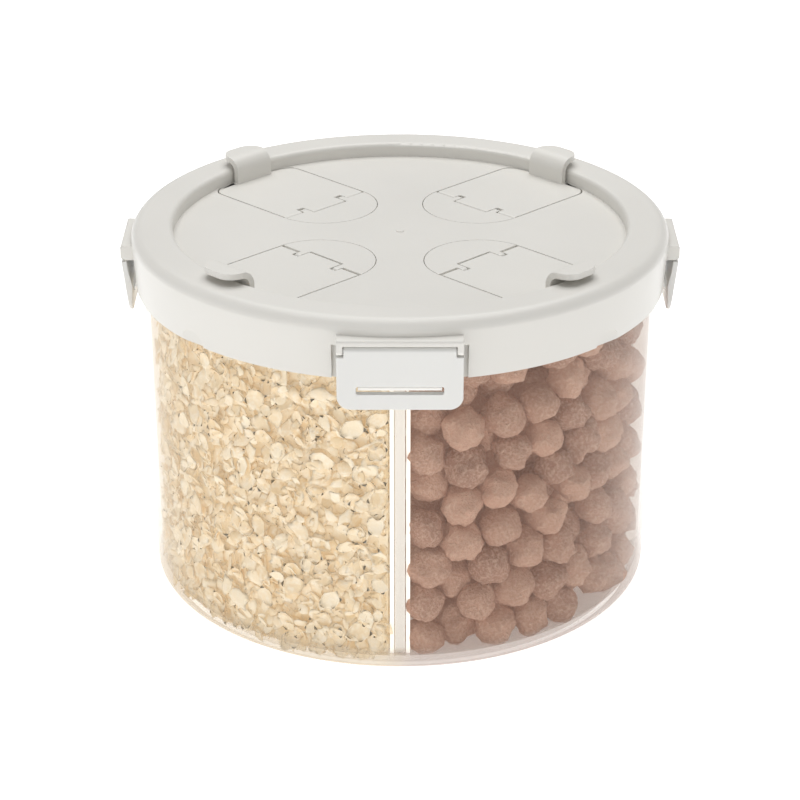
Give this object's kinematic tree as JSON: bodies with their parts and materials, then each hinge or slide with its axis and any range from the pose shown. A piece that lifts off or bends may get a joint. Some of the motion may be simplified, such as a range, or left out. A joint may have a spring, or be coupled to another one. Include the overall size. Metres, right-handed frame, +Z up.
{
  "type": "cereal dispenser",
  "caption": "Round clear dry-food tub with an inner cross divider and a clip-down lid; each compartment pours through its own hinged flip cover.",
  "frame": {"origin": "centre of the face the tub stands on", "axes": "+Z up along the tub's axis; -Y is the front, with one side latch on each of +X, -X, +Y and -Y and the flip covers on the diagonals between them"},
  "size_m": [0.1894, 0.1894, 0.1323],
  "materials": {
    "clear_tub": "clear moulded plastic, polished",
    "divider": "translucent milky moulded plastic",
    "lid_grey": "light warm grey moulded plastic, satin",
    "cover_grey": "light warm grey moulded plastic, satin",
    "latch_grey": "light grey moulded plastic, satin",
    "seal": "soft translucent white silicone"
  },
  "bodies": {
    "tub": {"tub": "clear_tub"},
    "divider_lower": {"divider_lower_panel": "divider"},
    "divider_upper": {"divider_upper_panel": "divider"},
    "lid": {"lid": "lid_grey", "lid_seal_ring": "seal", "hinge_plate_back_right": "lid_grey", "hinge_plate_back_left": "lid_grey", "hinge_plate_front_left": "lid_grey", "hinge_plate_front_right": "lid_grey"},
    "flip_cover_back_right": {"flip_cover_back_right": "cover_grey", "flip_cover_seal_back_right": "seal"},
    "flip_cover_back_left": {"flip_cover_back_left": "cover_grey", "flip_cover_seal_back_left": "seal"},
    "flip_cover_front_left": {"flip_cover_front_left": "cover_grey", "flip_cover_seal_front_left": "seal"},
    "flip_cover_front_right": {"flip_cover_front_right": "cover_grey", "flip_cover_seal_front_right": "seal"},
    "latch_right": {"latch_right": "latch_grey"},
    "latch_back": {"latch_back": "latch_grey"},
    "latch_left": {"latch_left": "latch_grey"},
    "latch_front": {"latch_front": "latch_grey"}
  },
  "joints": [
    {"name": "divider_lower_lift", "type": "slide", "parent": "tub", "child": "divider_lower", "axis": [0, 0, 1], "range_m": [0, 0.125]},
    {"name": "divider_upper_lift", "type": "slide", "parent": "divider_lower", "child": "divider_upper", "axis": [0, 0, 1], "range_m": [0, 0.125]},
    {"name": "lid_lift", "type": "slide", "parent": "divider_upper", "child": "lid", "axis": [0, 0, 1], "range_m": [0, 0.06]},
    {"name": "flip_back_right", "type": "hinge", "parent": "lid", "child": "flip_cover_back_right", "pos_m": [0.02729, 0.02729, 0.1216], "axis": [0.7071, -0.7071, 0], "range_deg": [0, 95]},
    {"name": "flip_back_left", "type": "hinge", "parent": "lid", "child": "flip_cover_back_left", "pos_m": [-0.02729, 0.02729, 0.1216], "axis": [0.7071, 0.7071, 0], "range_deg": [0, 95]},
    {"name": "flip_front_left", "type": "hinge", "parent": "lid", "child": "flip_cover_front_left", "pos_m": [-0.02729, -0.02729, 0.1216], "axis": [-0.7071, 0.7071, 0], "range_deg": [0, 95]},
    {"name": "flip_front_right", "type": "hinge", "parent": "lid", "child": "flip_cover_front_right", "pos_m": [0.02729, -0.02729, 0.1216], "axis": [-0.7071, -0.7071, 0], "range_deg": [0, 95]},
    {"name": "latch_right_hinge", "type": "hinge", "parent": "lid", "child": "latch_right", "pos_m": [0.0932, 0, 0.119], "axis": [0, -1, 0], "range_deg": [-3, 90]},
    {"name": "latch_back_hinge", "type": "hinge", "parent": "lid", "child": "latch_back", "pos_m": [0, 0.0932, 0.119], "axis": [1, 0, 0], "range_deg": [-3, 90]},
    {"name": "latch_left_hinge", "type": "hinge", "parent": "lid", "child": "latch_left", "pos_m": [-0.0932, 0, 0.119], "axis": [0, 1, 0], "range_deg": [-3, 90]},
    {"name": "latch_front_hinge", "type": "hinge", "parent": "lid", "child": "latch_front", "pos_m": [0, -0.0932, 0.119], "axis": [-1, 0, 0], "range_deg": [-3, 90]}
  ]
}
